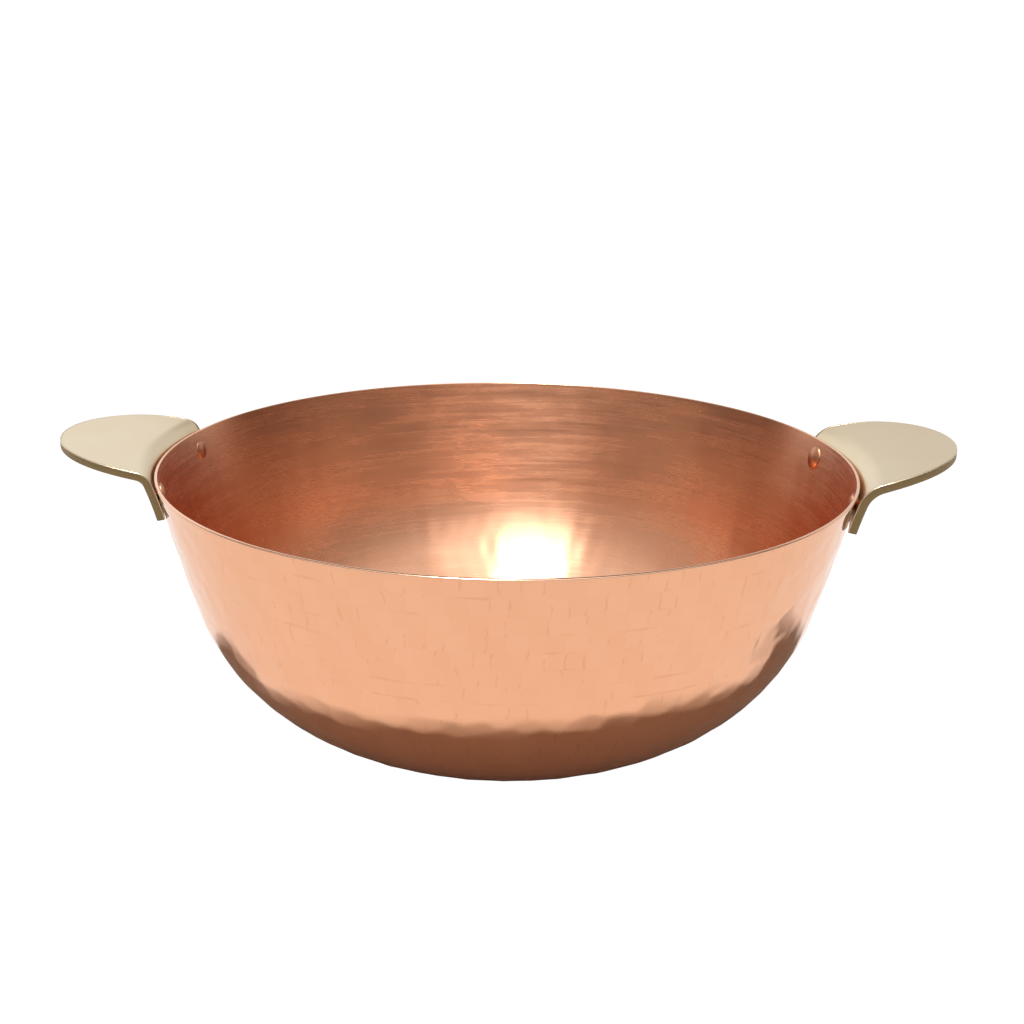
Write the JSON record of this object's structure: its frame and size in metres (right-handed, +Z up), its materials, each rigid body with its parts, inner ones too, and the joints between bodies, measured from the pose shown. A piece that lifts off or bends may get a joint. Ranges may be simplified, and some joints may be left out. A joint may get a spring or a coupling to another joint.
{
  "type": "kadai",
  "caption": "Round-bellied open pan of hammered copper with a flat foot and a bent brass ear plate riveted to the wall at each side.",
  "frame": {"origin": "middle of the underside of the flat foot, where the pan rests", "axes": "+Z up along the bowl's axis, X through both handles with +X towards the right handle, +Y away from the front"},
  "size_m": [0.3362, 0.2598, 0.1126],
  "materials": {
    "hammered_copper": "hammered and polished copper",
    "satin_brass": "satin pale brass plate",
    "rivet_copper": "polished copper"
  },
  "bodies": {
    "root": {"bowl": "hammered_copper", "left_handle": "satin_brass", "right_handle": "satin_brass", "rivet_left_back": "rivet_copper", "rivet_left_front": "rivet_copper", "rivet_right_back": "rivet_copper", "rivet_right_front": "rivet_copper"}
  },
  "joints": []
}
